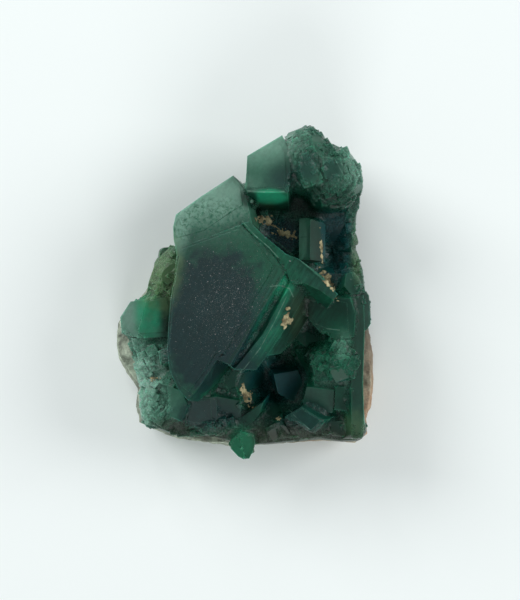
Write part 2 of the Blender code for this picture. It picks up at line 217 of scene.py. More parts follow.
def combined(body, other, operation):
    """Joins the other closed object to the body or cuts it away, and removes the other."""
    modifier = body.modifiers.new("shape", "BOOLEAN")
    modifier.operation = operation
    modifier.object = other
    modifier.solver = "MANIFOLD"
    applied(body)
    bpy.data.objects.remove(other, do_unlink=True)


def keep_in_box(made, margin=0.02 * MM):
    low, high = CAD_BOX
    for vertex in made.data.vertices:
        vertex.co = [min(max(c, a + margin), b - margin) for c, a, b in zip(vertex.co, low, high)]


# Faces belong to one flat patch when the cosine of the angle between them is above this
SAME_PLANE = 0.9998


def patch_areas(form):
    """For each face, the area of the flat patch that it belongs to."""
    form.faces.ensure_lookup_table()
    areas = [0.0] * len(form.faces)
    seen = set()
    for face in form.faces:
        if face.index in seen:
            continue
        seen.add(face.index)
        patch, front = [face], [face]
        while front:
            for edge in front.pop().edges:
                for other in edge.link_faces:
                    if other.index not in seen and other.normal.dot(face.normal) > SAME_PLANE:
                        seen.add(other.index)
                        patch.append(other)
                        front.append(other)
        total = sum(item.calc_area() for item in patch)
        for item in patch:
            areas[item.index] = total
    return areas


def surface_tree(name):
    return BVHTree.FromObject(bpy.data.objects[name], bpy.context.evaluated_depsgraph_get())


def seen_at(tree, x, y):
    """The point and the normal of the surface at a place given as seen, in millimetres."""
    way = Vector((x, y, CRYSTAL_LEVEL)) - EYE
    point, normal, _, _ = tree.ray_cast(EYE * MM, way.normalized())
    return point, normal


# The fluorite

# A flat patch above this area counts as a large face, edges above this angle stay sharp, and the small
# crystals are joined in at most this many sets
FLAT_AREA = 9e-6
SHARP_ANGLE = math.radians(24)
SET_LIMIT = 30

# An ellipse in plan: its middle and half sizes
Ellipse = namedtuple("Ellipse", "x y across along")

# How small crystals are set in each part of the specimen: middle, lean of their outer face, turn in degrees
# and their size beside the usual one
Region = namedtuple("Region", "x y lean_x lean_y turn share")
REGIONS = (
    Region(21, 37, 0.04, 0.02, 24, 0.62),
    Region(33, 14, 0.20, 0.00, 10, 0.6),
    Region(36, -5, 0.28, 0.10, 14, 0.8),
    Region(27, -20, 0.14, -0.12, 62, 1.0),
    Region(36, -32, 0.25, 0.00, 5, 0.8),
    Region(24, -42, 0.10, -0.30, 20, 0.8),
    Region(6, -43, 0.05, -0.35, 35, 0.9),
    Region(-14, -39, -0.05, -0.30, 10, 1.0),
    Region(-27, -33, -0.20, -0.20, 62, 1.0),
    Region(-29, -19, -0.20, 0.05, 30, 1.0),
    Region(-24, 6, -0.30, 0.20, 62, 0.8),
    Region(12, -19, 0.30, -0.20, 58, 1.0),
)

# How deep a small crystal sits, how much smaller it is on a wall, and how its size and setting stray
SINK = (0.38, 0.52)
STEEP_SHARE = 0.4
SIZE_SCATTER = 0.42
SETTING_SCATTER = 0.06
ODD_SHARE = 0.12
ODD_SCATTER = 0.5
LOWEST_SLOPE = -0.25

# Smooth places that hold no small crystals
CLEAR = (
    Ellipse(27.5, 15.5, 5.5, 11.5),
    Ellipse(9, -28, 8.5, 8),
    Ellipse(11, 17, 6, 6),
    Ellipse(19.5, 16.5, 4.5, 8),
    Ellipse(20, -43.5, 26, 5.5),
    Ellipse(-25.5, 7.5, 4, 7),
    Ellipse(6.2, 38.5, 9, 11),
    Ellipse(2, 28.5, 5, 4),
)


def nearest_reach(point, ellipses):
    """How far the point is from the nearest ellipse's middle, where 1 is on its rim."""
    x, y = point.x / MM, point.y / MM
    return min(math.hypot((x - e.x) / e.across, (y - e.y) / e.along) for e in ellipses)


def region_at(point):
    return min(REGIONS, key=lambda region: math.hypot(point.x / MM - region.x, point.y / MM - region.y))


def small_setting(near, chance):
    spread = ODD_SCATTER if chance.random() < ODD_SHARE else SETTING_SCATTER
    up = Vector((near.lean_x + chance.gauss(0, spread), near.lean_y + chance.gauss(0, spread), 1))
    turn = Matrix.Rotation(math.radians(near.turn) + chance.gauss(0, spread), 3, "Z")
    return Vector((0, 0, 1)).rotation_difference(up).to_matrix() @ turn


def chamfered_cube(chamfer):
    """The corners and faces of a cube of side 1 with narrow chamfers."""
    form = bmesh.new()
    bmesh.ops.create_cube(form, size=1)
    bmesh.ops.bevel(form, geom=form.edges[:], offset=chamfer, segments=1, affect="EDGES")
    points = [vertex.co.copy() for vertex in form.verts]
    faces = [[vertex.index for vertex in face.verts] for face in form.faces]
    form.free()
    return points, faces


SmallCrystal = namedtuple("SmallCrystal", "centre setting size")


def scattered(form, count, chance, side):
    """Small crystals on the rough places of the large ones, sunk so that only their corners stand out."""
    areas = patch_areas(form)
    weights = []
    for face in form.faces:
        rough = areas[face.index] < FLAT_AREA
        upward = face.normal.z >= LOWEST_SLOPE
        weights.append(face.calc_area() if rough and upward else 0.0)
    picks = chance.choices(range(len(form.faces)), weights=weights, k=count)
    made = []
    for pick in picks:
        face = form.faces[pick]
        a, b, c = (vertex.co for vertex in face.verts)
        u, v = chance.random(), chance.random()
        if u + v > 1:
            u, v = 1 - u, 1 - v
        point = a + (b - a) * u + (c - a) * v
        near = region_at(point)
        steepness = STEEP_SHARE + (1 - STEEP_SHARE) * max(0, face.normal.z)
        size = side * near.share * steepness * math.exp(chance.gauss(0, SIZE_SCATTER))
        shape = Vector((size * chance.uniform(0.75, 1.3), size, size * chance.uniform(0.8, 1.15)))
        centre = point - face.normal * size * chance.uniform(*SINK)
        setting = small_setting(near, chance)
        if nearest_reach(point, CLEAR) >= 1:
            made.append(SmallCrystal(centre, setting, shape))
    return made


def in_sets(crystals):
    """Sorts the crystals into sets in which none touches another."""
    sets = []
    for crystal in crystals:
        reach = crystal.size.length / 2
        for held in sets:
            gaps = np.linalg.norm(np.array(held["centres"]) - np.array(crystal.centre), axis=1)
            if np.all(gaps > np.array(held["reaches"]) + reach):
                break
        else:
            if len(sets) >= SET_LIMIT:
                continue
            held = {"centres": [], "reaches": [], "crystals": []}
            sets.append(held)
        held["centres"].append(tuple(crystal.centre))
        held["reaches"].append(reach)
        held["crystals"].append(crystal)
    return [held["crystals"] for held in sets]


def crystals_object(name, crystals, chamfer):
    corners, sides = chamfered_cube(chamfer)
    points, faces = [], []
    for crystal in crystals:
        start = len(points)
        for corner in corners:
            local = Vector([a * b for a, b in zip(corner, crystal.size)])
            points.append(crystal.centre + crystal.setting @ local)
        faces += [[start + index for index in side] for side in sides]
    return object_from_points(name, points, faces)


# The softened copy of the crystals that wears corners off and fills creases
SOFT_VOXEL = 0.9 * MM
SOFT_SMOOTHING = 14
SMOOTHING_STEP = 0.5
FILL_SUNK = 0.30 * MM
WEAR_PROUD = 0.32 * MM
WEAR_SPARED = 3.0 * MM
SOFT_ROUGH = 0.24 * MM
SOFT_GRAIN = 1.3 * MM

# Where the crystals are worn and rounded
WORN = (
    Ellipse(24.5, 36, 12, 15),
    Ellipse(35.5, 12, 3.5, 18),
    Ellipse(40, -5, 2.6, 12),
    Ellipse(27.5, -19, 6.5, 8),
    Ellipse(20, -44, 22, 5.5),
    Ellipse(-14, -44, 14, 4),
    Ellipse(-30, -32, 8, 14),
    Ellipse(-26, 7, 6, 11),
    Ellipse(-34, -18, 6, 6),
)
WORN_EDGE = 0.25


def wear_share(point):
    """1 where the crystals are worn, 0 where they are sharp."""
    return min(1, max(0, (1 + WORN_EDGE - nearest_reach(point, WORN)) / WORN_EDGE))


def softened(base, stand):
    """A smoothed copy of the crystals, moved out by what stand gives for each point."""
    made = linked(base.name, base.data.copy())
    remeshed(made, SOFT_VOXEL)
    form = form_of(made.data)
    every_way = {"use_axis_x": True, "use_axis_y": True, "use_axis_z": True}
    for _ in range(SOFT_SMOOTHING):
        bmesh.ops.smooth_vert(form, verts=form.verts[:], factor=SMOOTHING_STEP, **every_way)
    pushed(form, lambda point: SOFT_ROUGH * noise.noise(point / SOFT_GRAIN) + stand(point))
    form.to_mesh(made.data)
    form.free()
    return made


def wear_form(base):
    """What is left when the corners of the worn crystals are gone."""
    return softened(base, lambda point: WEAR_SPARED + (WEAR_PROUD - WEAR_SPARED) * wear_share(point))


def crease_filling(base):
    """The massive crystal just under the faces, which fills the creases between them."""
    return softened(base, lambda point: -FILL_SUNK)


# Thin growth layers on the large faces: how much each stands out, and its outline as seen
Layer = namedtuple("Layer", "lift outline")
LAYERS = (
    Layer(0.22, (
        (8.6, 8.0), (6.9, 4.0), (3.0, -2.4), (0.6, -6.6), (-1.6, -11.2), (-6.0, -18.6), (-8.4, -18.2),
        (-13.0, -25.4), (-16.6, -30.0), (-19.2, -27.8), (-21.8, -21.5), (-22.3, -15.5), (-21.6, -5.5),
        (-20.4, 4.5), (-19.2, 12.6), (-1.6, 18.9), (1.9, 15.6), (5.6, 12.2),
    )),
    Layer(0.2, (
        (-1.2, 31.6), (-4.2, 34.0), (-13.2, 28.0), (-19.8, 23.2), (-20.6, 20.0), (-20.4, 16.2), (-12, 18.5),
        (-4.0, 24.0), (-0.4, 26.2),
    )),
    Layer(0.2, ((1.6, 31.2), (1.5, 40.2), (5.2, 42.4), (10.2, 45.0), (12.2, 41.9), (12.5, 35), (11.8, 31.2))),
    Layer(0.2, ((17.2, -35.0), (23.0, -38.6), (20.2, -41.4), (14.0, -37.2))),
    Layer(0.18, ((17.2, -35.6), (22.2, -38.7), (20.4, -40.5), (15.2, -37.0))),
    Layer(0.2, (
        (19.6, -0.4), (27.2, -2.6), (30.9, -3.2), (31.4, -11.8), (27.6, -12.6), (22.4, -9.9), (20.4, -7.4),
    )),
    Layer(0.2, ((-29.0, -3.0), (-23.4, -1.4), (-22.4, -5.4), (-23.4, -12.0), (-31.2, -12.4), (-30.0, -7))),
    Layer(0.2, ((-25.4, -17.6), (-22.8, -16.8), (-22.0, -19.8), (-24.8, -20.6))),
    Layer(0.2, ((-16.6, -33.0), (-10.0, -32.2), (-9.6, -39.8), (-16.8, -38.8))),
)
LAYER_DEPTH = 1.2


def growth_layer(tree, layer):
    """A thin plate on the crystal face under the middle of its outline, parallel to that face."""
    spots = [Vector(spot) for spot in layer.outline]
    middle = sum(spots, Vector((0, 0))) / len(spots)
    origin, normal = seen_at(tree, *middle)
    form = bmesh.new()
    upper, lower = [], []
    for spot in spots:
        way = (Vector((*spot, CRYSTAL_LEVEL)) - EYE).normalized()
        reach = (origin - EYE * MM).dot(normal) / way.dot(normal)
        point = EYE * MM + way * reach
        upper.append(form.verts.new(point + normal * layer.lift * MM))
        lower.append(form.verts.new(point - normal * LAYER_DEPTH * MM))
    form.faces.new(upper)
    form.faces.new(lower[::-1])
    count = len(upper)
    for i in range(count):
        j = (i + 1) % count
        form.faces.new((upper[i], lower[i], lower[j], upper[j]))
    bmesh.ops.recalc_face_normals(form, faces=form.faces[:])
    return object_from(form, "growth_layer")


# Cracks along the cleavage: their points as seen and their width and depth
Crack = namedtuple("Crack", "points width depth")
CRACKS = (
    Crack(((9.7, 8.2), (8.4, 6.1), (6.8, 3.8)), 0.16, 0.8),
    Crack(((-6.6, -18.2), (-9.0, -22.6), (-10.8, -27.4)), 0.20, 1.0),
    Crack(((1.2, -10.2), (-1.6, -14.2), (-4.4, -18.3)), 0.14, 0.8),
    Crack(((-13.1, -27.6), (-14.9, -29.9), (-16.4, -31.4)), 0.16, 0.8),
)

# The share of a crack's width and depth that is left at its ends, and how far its cutter stands out
TIP_WIDTH = 0.24
TIP_DEPTH = 0.2
CUTTER_PROUD = 0.5 * MM


def crack_cut(tree, crack):
    """A narrow wedge along the points, sharp at both ends and at its bottom."""
    form = bmesh.new()
    spots = [seen_at(tree, *point) for point in crack.points]
    last = len(spots) - 1
    rows = []
    for index, (point, normal) in enumerate(spots):
        before, after = spots[max(0, index - 1)][0], spots[min(last, index + 1)][0]
        side = (after - before).cross(normal).normalized()
        tip = index in (0, last)
        half = crack.width * MM / 2 * (TIP_WIDTH if tip else 1)
        high = point + normal * CUTTER_PROUD
        low = point - normal * crack.depth * MM * (TIP_DEPTH if tip else 1)
        rows.append([form.verts.new(p) for p in (high - side * half, high + side * half, low)])
    form.faces.new(rows[0])
    form.faces.new(rows[-1][::-1])
    for first, second in zip(rows, rows[1:]):
        for i in range(3):
            j = (i + 1) % 3
            form.faces.new((first[j], first[i], second[i], second[j]))
    bmesh.ops.triangulate(form, faces=form.faces[:])
    bmesh.ops.recalc_face_normals(form, faces=form.faces[:])
    return object_from(form, "crack")


# Shader helpers


class Nodes:
    """Short ways to add nodes to one tree."""

    def __init__(self, tree):
        self.tree = tree

    def fill(self, socket, value):
        if isinstance(value, bpy.types.NodeSocket):
            self.tree.links.new(value, socket)
        else:
            socket.default_value = value

    def fill_all(self, node, inputs):
        for key, value in inputs.items():
            self.fill(node.inputs[key], value)

    def add(self, kind, inputs=(), **values):
        node = self.tree.nodes.new(kind)
        for name, value in values.items():
            setattr(node, name, value)
        self.fill_all(node, dict(inputs))
        return node

    def place(self):
        return self.add("ShaderNodeTexCoord").outputs["Object"]

    def noise(self, vector, scale, detail=4, roughness=0.55, distortion=0.0):
        inputs = {"Vector": vector, "Scale": scale, "Detail": detail, "Roughness": roughness}
        return self.add("ShaderNodeTexNoise", inputs | {"Distortion": distortion}).outputs["Fac"]

    def vector(self, operation, *inputs):
        """The outcome of vector maths, as a vector or as a plain value."""
        plain = operation in ("LENGTH", "DISTANCE", "DOT_PRODUCT")
        node = self.add("ShaderNodeVectorMath", dict(enumerate(inputs)), operation=operation)
        return node.outputs["Value" if plain else "Vector"]

    def parts(self, vector):
        return self.add("ShaderNodeSeparateXYZ", {0: vector}).outputs

    def geometry(self, output):
        return self.add("ShaderNodeNewGeometry").outputs[output]

    def ranged(self, value, low, high, to_low=0.0, to_high=1.0, smooth=False):
        inputs = {"Value": value, "From Min": low, "From Max": high, "To Min": to_low, "To Max": to_high}
        kind = "SMOOTHSTEP" if smooth else "LINEAR"
        return self.add("ShaderNodeMapRange", inputs, interpolation_type=kind).outputs["Result"]

    def maths(self, operation, first, second=0.0):
        return self.add("ShaderNodeMath", {0: first, 1: second}, operation=operation).outputs[0]

    def times(self, *values):
        total = values[0]
        for value in values[1:]:
            total = self.maths("MULTIPLY", total, value)
        return total

    def plus(self, *values):
        total = values[0]
        for value in values[1:]:
            total = self.maths("ADD", total, value)
        return total

    def mixed(self, share, first, second, blend="MIX"):
        node = self.add("ShaderNodeMix", data_type="RGBA", blend_type=blend)
        for key, kind, value in (("Factor", "VALUE", share), ("A", "RGBA", first), ("B", "RGBA", second)):
            socket = next(s for s in node.inputs if s.name == key and s.type == kind)
            self.fill(socket, value)
        return next(s for s in node.outputs if s.type == "RGBA")

    def toned(self, colour, value):
        """The colour made lighter or darker by a value."""
        grey = self.add("ShaderNodeCombineColor", {0: value, 1: value, 2: value}).outputs[0]
        return self.mixed(1.0, colour, grey, "MULTIPLY")

    def group(self, tree, **inputs):
        node = self.add("ShaderNodeGroup")
        node.node_tree = tree
        for name, value in inputs.items():
            self.fill(node.inputs[name.replace("_", " ").capitalize()], value)
        return node

    def bump(self, height, strength, distance, normal=None):
        inputs = {"Height": height, "Strength": strength, "Distance": distance}
        if normal is not None:
            inputs["Normal"] = normal
        return self.add("ShaderNodeBump", inputs).outputs["Normal"]


def new_group(name, inputs, outputs):
    """An empty shader group: what adds nodes to it, the values that go in and the sockets that lead out."""
    tree = bpy.data.node_groups.new(name, "ShaderNodeTree")
    for label, value in inputs.items():
        kind = "NodeSocketFloat" if isinstance(value, float) else "NodeSocketVector"
        tree.interface.new_socket(name=label, in_out="INPUT", socket_type=kind).default_value = value
    for label in outputs:
        tree.interface.new_socket(name=label, in_out="OUTPUT", socket_type="NodeSocketFloat")
    given = tree.nodes.new("NodeGroupInput").outputs
    return Nodes(tree), given, tree.nodes.new("NodeGroupOutput").inputs


def built_once(build):
    """Builds a shader group when it is first asked for, and finds it by its name after that."""
    name = build.__name__.removesuffix("_group").capitalize()

    def group():
        return bpy.data.node_groups.get(name) or build(name)

    return group


@built_once
def zone_group(name):
    """A soft, ragged ellipsoid: 1 inside, 0 outside."""
    sizes = {"Centre": (0, 0, 0), "Radius": (0.01, 0.01, 0.01)}
    looks = {"Softness": 0.3, "Wobble": 0.0, "Ragged": 0.2, "Share": 1.0}
    nodes, given, out = new_group(name, sizes | looks, ("Mask",))
    offset = nodes.vector("SUBTRACT", nodes.place(), given["Centre"])
    length = nodes.vector("LENGTH", nodes.vector("DIVIDE", offset, given["Radius"]))
    reach = nodes.plus(length, nodes.times(given["Wobble"], given["Ragged"]))
    outer = nodes.plus(given["Softness"], 1.0)
    inner = nodes.maths("SUBTRACT", 1.0, given["Softness"])
    fade = nodes.ranged(reach, inner, outer, 1.0, 0.0, smooth=True)
    nodes.fill(out["Mask"], nodes.times(fade, given["Share"]))
    return nodes.tree


@built_once
def grain_group(name):
    """Fine mineral grain: a value for colour and a height for bump."""
    nodes, given, out = new_group(name, {"Scale": 1500.0, "Coarse": 0.5}, ("Value", "Height"))
    place = nodes.place()
    fine = nodes.noise(place, given["Scale"], 5, 0.65)
    cells = nodes.add("ShaderNodeTexVoronoi", {"Vector": place, "Scale": nodes.times(given["Scale"], 0.6)})
    nodes.fill(out["Value"], fine)
    nodes.fill(out["Height"], nodes.plus(fine, nodes.times(cells.outputs["Distance"], given["Coarse"])))
    return nodes.tree


@built_once
def line_group(name):
    """A thin, broken line between two points of the plan: 1 on it, 0 beside it."""
    sizes = {"Start": (0, 0, 0), "Along": (0.01, 0, 0), "Width": 0.2 * MM, "Wobble": 0.0, "Share": 1.0}
    nodes, given, out = new_group(name, sizes, ("Mask",))
    along = given["Along"]
    flat = nodes.vector("MULTIPLY", nodes.place(), (1, 1, 0))
    offset = nodes.vector("SUBTRACT", flat, given["Start"])
    run = nodes.vector("DOT_PRODUCT", offset, along)
    square = nodes.vector("DOT_PRODUCT", along, along)
    share = nodes.add("ShaderNodeClamp", {"Value": nodes.maths("DIVIDE", run, square)}).outputs[0]
    foot = nodes.add("ShaderNodeVectorMath", {0: along, "Scale": share}, operation="SCALE").outputs[0]
    reach = nodes.plus(nodes.vector("DISTANCE", offset, foot), nodes.maths("ABSOLUTE", given["Wobble"]))
    mask = nodes.ranged(reach, 0.0, given["Width"], 1.0, 0.0)
    nodes.fill(out["Mask"], nodes.times(mask, given["Share"]))
    return nodes.tree


@built_once
def streaks_group(name):
    """Growth lines: a value that changes quickly across one direction and slowly along it."""
    nodes, given, out = new_group(name, {"Turn": (0, 0, 0), "Scale": (90, 1100, 700)}, ("Value",))
    inputs = {0: nodes.place(), "Rotation": given["Turn"]}
    turned = nodes.add("ShaderNodeVectorRotate", inputs, rotation_type="EULER_XYZ", invert=True).outputs[0]
    scaled = nodes.vector("MULTIPLY", turned, given["Scale"])
    nodes.fill(out["Value"], nodes.noise(scaled, 1.0, 4, 0.6, 0.3))
    return nodes.tree


@built_once
def dust_group(name):
    """Where pale dust lies: on what faces up, in ragged speckles."""
    nodes, given, out = new_group(name, {"Amount": 0.3, "Scale": 2200.0}, ("Mask",))
    place = nodes.place()
    upward = nodes.ranged(nodes.parts(nodes.geometry("Normal"))["Z"], 0.25, 0.95)
    drift = nodes.ranged(nodes.noise(place, 150, 3, 0.6), 0.35, 0.65)
    speckle = nodes.ranged(nodes.noise(place, given["Scale"], 3, 0.7), 0.54, 0.76)
    nodes.fill(out["Mask"], nodes.times(upward, drift, speckle, given["Amount"]))
    return nodes.tree


def new_material(name):
    material = bpy.data.materials.new(name)
    material.use_nodes = True
    return material, Nodes(material.node_tree), material.node_tree.nodes["Principled BSDF"]


def opaque(colour):
    return (*colour, 1.0)


# Growth zones and stains of the fluorite, in millimetres, each laid over those before it. Some are painted
# light:
# the darkest zones, in the pockets and hollows, are painted shade, and the pale and bright zones along thin
# edges and side bands are partly painted glow of light shining through them.
# A zone without a colour is used as a mask alone.
Zone = namedtuple("Zone", "colour centre radius softness ragged share")
ZONES = (
    Zone("milky", (22, 39, 36), (16, 13, 14), 0.5, 0.5, 0.40),
    Zone("pale", (33, 38, 30), (4, 9, 14), 0.6, 0.6, 0.35),
    Zone("slate", (19, 37, 34), (3.0, 4.6, 14), 0.3, 0.4, 0.45),
    Zone("slate", (26, 36, 34), (3.0, 3.4, 14), 0.3, 0.4, 0.45),
    Zone("deep", (24, 27, 26), (14, 5.5, 14), 0.4, 0.4, 0.9),
    Zone("green", (6, 12, 40), (14, 12, 6), 0.6, 0.3, 0.6),
    Zone("slate", (-8, -10.5, 36), (17.5, 22.5, 12), 0.22, 0.7, 0.97),
    Zone("milky", (-10, 24, 34), (16, 8, 12), 0.6, 0.5, 0.6),
    Zone("pale", (-15, 29.5, 32), (17, 8, 12), 0.5, 0.3, 0.75),
    Zone("pale", (-20.5, 21, 32), (4, 9, 12), 0.5, 0.3, 0.65),
    Zone("milky", (5, 40, 38), (8, 8, 12), 0.5, 0.2, 0.75),
    Zone("pale", (4, 47, 36), (11, 7, 12), 0.7, 0.2, 0.8),
    Zone("slate", (12, 34, 38), (5, 4, 12), 0.7, 0.2, 0.7),
    # Below the upper crystal: its side band painted bright as painted glow, its corner painted deep as
    # painted shade, and a pale dot as a painted highlight
    Zone("bright", (7.5, 28.4, 33), (5.5, 2.4, 8), 0.3, 0.1, 1.0),
    Zone("deep", (1.5, 28.0, 33), (2.6, 3.2, 8), 0.3, 0.1, 0.95),
    Zone("pale", (2.4, 27.0, 33), (0.5, 0.5, 8), 0.3, 0.1, 0.9),
    Zone("pale", (-36, -8, 24), (4.5, 8, 9), 0.5, 0.3, 0.55),
    Zone("bright", (-29, -7, 26), (3.8, 8, 8), 0.4, 0.2, 0.75),
    Zone("olive", (-22.5, -6, 26), (2.5, 8, 8), 0.4, 0.4, 0.5),
    Zone("stained", (-24, 7, 28), (6, 12, 10), 0.4, 0.5, 0.75),
    Zone("stained", (-28.5, 6, 26), (4, 10, 10), 0.5, 0.5, 0.8),
    Zone("milky", (-30, -25, 24), (7, 15, 10), 0.5, 0.8, 0.7),
    Zone("pale", (-32, -31, 24), (7, 12, 12), 0.6, 0.8, 1.0),
    Zone("milky", (-24, -36, 24), (7, 6, 10), 0.5, 0.5, 0.75),
    Zone("olive", (-21, -40.5, 22), (7, 3, 8), 0.5, 0.5, 0.8),
    Zone("milky", (-22, -32, 28), (4, 6, 6), 0.4, 0.3, 0.5),
    Zone("bright", (9, -8, 36), (8, 16, 5), 0.4, 0.3, 0.22),
    Zone("bright", (5, -8, 29), (4, 15, 4), 0.4, 0.4, 0.3),
    Zone("bright", (11.8, 1.6, 36), (3.0, 4.0, 4), 0.5, 0.3, 0.8),
    Zone("deep", (15.2, -7, 31), (4.0, 12.5, 8.5), 0.35, 0.5, 1.0),
    Zone("olive", (17.5, -10, 29), (3.4, 11, 4.5), 0.4, 0.5, 0.6),
    Zone("stained", (15.6, -3.6, 32), (2.0, 5, 6), 0.6, 0.5, 0.16),
    Zone("deep", (26, -6, 30), (6, 7, 5), 0.4, 0.3, 0.8),
    Zone("green", (28, -19, 30), (8, 9, 9), 0.5, 0.6, 0.6),
    Zone("milky", (30, -16, 32), (3, 4, 4), 0.5, 0.6, 0.75),
    Zone("deep", (34.5, -16, 26), (2.6, 34, 10), 0.3, 0.3, 0.7),
    Zone("stained", (34, -40, 22), (4, 5, 10), 0.5, 0.5, 0.4),
    Zone("slate", (-11, -37, 28), (10.5, 5.5, 8), 0.4, 0.6, 0.8),
    Zone("slate", (18, -38, 26), (8.5, 5.5, 8), 0.3, 0.3, 0.6),
    Zone("deep", (29.5, -31, 26), (4.5, 5, 8), 0.4, 0.3, 0.6),
    Zone("olive", (12, -46, 20), (34, 5.5, 10), 0.5, 0.5, 0.95),
    Zone("bright", (-1, -46, 24), (4, 5, 8), 0.4, 0.2, 0.36),
    # The zones in the recess under the knob, in the hollow and in the pocket below are painted shade
    Zone("dark", (27.5, 14, 24), (6, 11, 7), 0.4, 0.2, 0.95),
    Zone("stained", (34.5, 12, 24), (2.0, 9, 9), 0.5, 0.4, 0.5),
    Zone("dark", (9, -27, 22), (9, 7.5, 8), 0.35, 0.2, 0.95),
    Zone("dark", (11, 17, 24), (6, 5, 6), 0.4, 0.3, 0.9),
    Zone("milky", (17.2, 16, 32), (1.8, 7.5, 8), 0.2, 0.1, 0.45),
    Zone("deep", (21.4, 14, 30), (2.4, 9, 8), 0.2, 0.1, 1.0),
)

# Milky zones with darker green spots in them
SPOTTED = Zone("green", (-10, 21, 34), (14, 7, 12), 0.4, 0.4, 0.9)


def zone_mask(nodes, zone, wobble):
    return nodes.group(
        zone_group(),
        centre=[c * MM for c in zone.centre],
        radius=[r * MM for r in zone.radius],
        softness=zone.softness,
        wobble=wobble,
        ragged=zone.ragged * 2,
        share=zone.share,
    ).outputs["Mask"]


# Thin lines on the faces along cracks, rims and growth lines, mostly painted light: the deep lines are
# painted shadow in cracks and creases and along outer edges, and the pale lines are painted highlights along
# edges.
# Colour, width in millimetres, share and points as seen
Line = namedtuple("Line", "colour width share points")
SHADE_AND_HIGHLIGHT_LINES = (
    Line("deep", 0.60, 0.95, ((-1.0, 20.5), (2.7, 16.2), (6.9, 12.6), (9.6, 9.6), (12.9, 4.2))),
    Line("pale", 0.22, 0.6, ((-0.4, 21.0), (3.3, 16.7), (7.5, 13.1), (10.2, 10.1))),
    Line("deep", 0.50, 0.95, ((10.5, 4.2), (4.2, -6.3), (-1.2, -15.9), (-4.2, -20.4))),
    Line("pale", 0.28, 0.5, ((12.6, -1.5), (9.0, -9.0), (4.8, -16.8), (-2.1, -25.5))),
    Line("pale", 0.30, 0.55, ((7.8, 1.6), (10.6, 1.9), (13.4, 1.0), (14.6, -1.4))),
    Line("milky", 0.36, 0.8, ((3.0, 20.4), (12.0, 13.6), (20.0, 6.6), (27.0, 0.6))),
    Line("deep", 0.40, 0.8, ((3.6, 19.4), (12.4, 12.3), (25.0, 1.6))),
    Line("pale", 0.26, 0.5, ((21.6, -9.6), (25.0, -11.0), (28.6, -11.4))),
    Line("pale", 0.26, 0.5, ((27.3, 38.4), (29.6, 34.2), (32.6, 30.6))),
    Line("deep", 0.4, 0.8, ((16.8, 33.4), (21.2, 31.4), (22.8, 36.8))),
    Line("pale", 0.3, 0.6, ((1.2, 29.8), (6.0, 29.5), (11.8, 29.6))),
    Line("deep", 0.3, 0.8, ((12.8, -36.2), (19.0, -41.6))),
    Line("deep", 0.55, 0.75, ((-21.0, 23.8), (-3.5, 35.5), (0.2, 30.4))),
    Line("deep", 0.5, 0.6, ((0.6, 41.6), (11.2, 47.8))),
    Line("deep", 0.35, 0.7, ((15.8, 16.4), (19.4, 16.6))),
    Line("pale", 0.22, 0.5, ((13.6, -35.8), (19.6, -41.2))),
)
LINE_WOBBLE = 1.1 * MM

# Growth lines run along the long edges of the large crystals, and along the right and lower sides near those
MAIN_LINES = math.radians(59.5)
SIDE_LINES = (
    (math.radians(90), Zone(None, (36, -10, 24), (5, 40, 16), 0.3, 0.2, 1.0)),
    (math.radians(3), Zone(None, (22, -44, 22), (26, 6, 14), 0.3, 0.2, 1.0)),
    (math.radians(90), Zone(None, (25, 14, 26), (8, 12, 10), 0.3, 0.2, 1.0)),
    (math.radians(-32), Zone(None, (21, -37, 27), (8, 6, 8), 0.3, 0.2, 1.0)),
)

# Where the growth lines are strong, on the stepped flank of the large crystal, and where the dust is thick
STREAKED = Zone(None, (15, -4, 34), (11, 24, 10), 0.3, 0.3, 1.0)
DUSTY = Zone(None, (-5, -3, 40), (16, 18, 8), 0.6, 0.3, 1.0)

# Noise on the fluorite: scale per metre, detail, roughness and distortion
CLOUD = (110, 5, 0.6, 0.4)
WOBBLE = (260, 5, 0.6)
MOTTLE = (800, 4, 0.6)
SPOTS = (1000, 3, 0.6, 0.6)
FROST = (1800, 4, 0.6)
GRIT = (3200, 2, 0.6)

# The fluorite's edges, small blocks, etching and grit: how wide, how many per metre and how deep
EDGE_RADIUS = 0.2 * MM
BLOCK_SCALE = 620.0
BLOCK_DEPTH = 0.25 * MM
ETCH_SCALE = 1900.0
ETCH_DEPTH = 0.05 * MM
DUST_SCALE = 3200.0

# How the fluorite bends and scatters light, and what it absorbs on the way through
LIGHT_INSIDE = {
    "IOR": 1.434,
    "Specular IOR Level": 0.22,
    "Transmission Weight": 0.25,
    "Subsurface Weight": 0.7,
    "Subsurface Radius": (0.5, 1.0, 0.8),
    "Subsurface Scale": 2.5 * MM,
}
ABSORPTION = {"Color": (0.10, 0.45, 0.30, 1.0), "Density": 110.0}


def with_lines(nodes, base, values, wobble):
    """The colour with the thin lines of painted shadow and painted highlight laid over it."""
    sway = nodes.times(wobble, LINE_WOBBLE)
    for line in SHADE_AND_HIGHLIGHT_LINES:
        for first, second in zip(line.points, line.points[1:]):
            mask = nodes.group(
                line_group(),
                start=(first[0] * MM, first[1] * MM, 0),
                along=((second[0] - first[0]) * MM, (second[1] - first[1]) * MM, 0),
                width=line.width * MM,
                wobble=sway,
                share=line.share,
            ).outputs["Mask"]
            base = nodes.mixed(mask, base, opaque(getattr(values, line.colour)))
    return base


def growth_lines(nodes, wobble):
    lines = nodes.group(streaks_group(), turn=(0, 0, MAIN_LINES)).outputs["Value"]
    for turn, zone in SIDE_LINES:
        other = nodes.group(streaks_group(), turn=(0, 0, turn)).outputs["Value"]
        apart = nodes.maths("SUBTRACT", other, lines)
        lines = nodes.plus(lines, nodes.times(zone_mask(nodes, zone, wobble), apart))
    return lines


